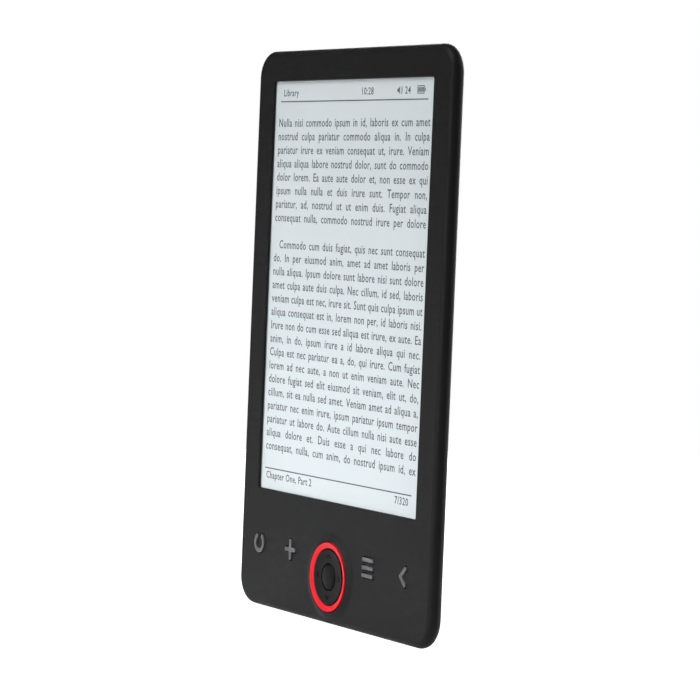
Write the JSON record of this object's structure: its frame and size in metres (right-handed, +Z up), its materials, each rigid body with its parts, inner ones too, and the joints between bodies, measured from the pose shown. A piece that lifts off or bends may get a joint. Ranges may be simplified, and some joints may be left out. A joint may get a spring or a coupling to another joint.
{
  "type": "e-reader",
  "caption": "Slim hand-held e-reader: recessed electronic-paper display, round tilting navigation pad with a red ring, and raised symbol keys in a charcoal plastic case.",
  "frame": {"origin": "centre of the flat part of the back face", "axes": "+Z up along the reading height, display faces -Y, +X to the reader's right, +Y out of the back"},
  "size_m": [0.11, 0.0095, 0.166],
  "materials": {
    "front_plastic": "fine satin charcoal moulding",
    "rear_plastic": "fine matt charcoal moulding",
    "red_trim": "bright red satin-gloss ring",
    "nav_plastic": "dark satin moulding",
    "key_grey": "light grey satin moulding",
    "spring_steel": "bright spring strip",
    "display_paper": "matt anti-glare film over glass, opaque grey-white page",
    "foam": "black closed-cell foam",
    "amber_film": "amber polyimide film",
    "connector_plastic": "cream connector moulding",
    "frame_metal": "stamped alloy plate",
    "board_laminate": "green coated laminate",
    "tinned_steel": "tinned sheet steel",
    "chip_plastic": "black moulded package",
    "battery_pouch": "silver laminated pouch",
    "lead_red": "red lead insulation",
    "lead_black": "black lead insulation",
    "screw_steel": "blackened steel"
  },
  "bodies": {
    "housing": {"battery": "battery_pouch", "battery_lead_black": "lead_black", "battery_lead_red": "lead_red", "battery_socket": "connector_plastic", "board_screw_1": "screw_steel", "board_screw_2": "screw_steel", "board_screw_3": "screw_steel", "board_screw_4": "screw_steel", "card_slot": "tinned_steel", "cover_screw_1": "screw_steel", "cover_screw_2": "screw_steel", "cover_screw_3": "screw_steel", "cover_screw_4": "screw_steel", "cover_screw_5": "screw_steel", "cover_screw_6": "screw_steel", "display_connector": "connector_plastic", "display_flex": "amber_film", "display_foam": "foam", "display_panel": "display_paper", "front_bezel": "front_plastic", "headphone_jack": "chip_plastic", "main_board": "board_laminate", "memory_chip": "chip_plastic", "middle_frame": "frame_metal", "power_switch": "chip_plastic", "processor": "chip_plastic", "rear_cover": "rear_plastic", "reset_switch": "connector_plastic", "shield_can": "tinned_steel", "switch_back": "chip_plastic", "switch_down": "chip_plastic", "switch_left": "chip_plastic", "switch_menu": "chip_plastic", "switch_ok": "chip_plastic", "switch_plus": "chip_plastic", "switch_refresh": "chip_plastic", "switch_right": "chip_plastic", "switch_up": "chip_plastic", "trim_ring": "red_trim", "usb_socket": "tinned_steel"},
    "refresh_key": {"refresh_key": "key_grey"},
    "plus_key": {"plus_key": "key_grey"},
    "menu_key": {"menu_key": "key_grey"},
    "back_key": {"back_key": "key_grey"},
    "ok_button": {"ok_button": "nav_plastic"},
    "nav_spring_washer": {"nav_spring_washer": "spring_steel"},
    "nav_rocker": {"nav_rocker": "nav_plastic"},
    "power_button": {"power_button": "nav_plastic"}
  },
  "joints": [
    {"name": "refresh_key_press", "type": "slide", "parent": "housing", "child": "refresh_key", "axis": [0, 1, 0], "range_m": [0, 0.00035], "stiffness_N_per_m": 800},
    {"name": "plus_key_press", "type": "slide", "parent": "housing", "child": "plus_key", "axis": [0, 1, 0], "range_m": [0, 0.00035], "stiffness_N_per_m": 800},
    {"name": "menu_key_press", "type": "slide", "parent": "housing", "child": "menu_key", "axis": [0, 1, 0], "range_m": [0, 0.00035], "stiffness_N_per_m": 800},
    {"name": "back_key_press", "type": "slide", "parent": "housing", "child": "back_key", "axis": [0, 1, 0], "range_m": [0, 0.00035], "stiffness_N_per_m": 800},
    {"name": "ok_button_press", "type": "slide", "parent": "housing", "child": "ok_button", "axis": [0, 1, 0], "range_m": [0, 0.0003], "stiffness_N_per_m": 800},
    {"name": "nav_tilt_up_down", "type": "hinge", "parent": "housing", "child": "nav_spring_washer", "pos_m": [0, -0.0062, -0.0692], "axis": [1, 0, 0], "range_deg": [-2.5, 2.5], "stiffness_Nm_per_rad": 0.25},
    {"name": "nav_tilt_left_right", "type": "hinge", "parent": "nav_spring_washer", "child": "nav_rocker", "pos_m": [0, -0.0062, -0.0692], "axis": [0, 0, 1], "range_deg": [-2.5, 2.5], "stiffness_Nm_per_rad": 0.25},
    {"name": "power_button_press", "type": "slide", "parent": "housing", "child": "power_button", "axis": [0, 0, 1], "range_m": [0, 0.0003], "stiffness_N_per_m": 800}
  ]
}
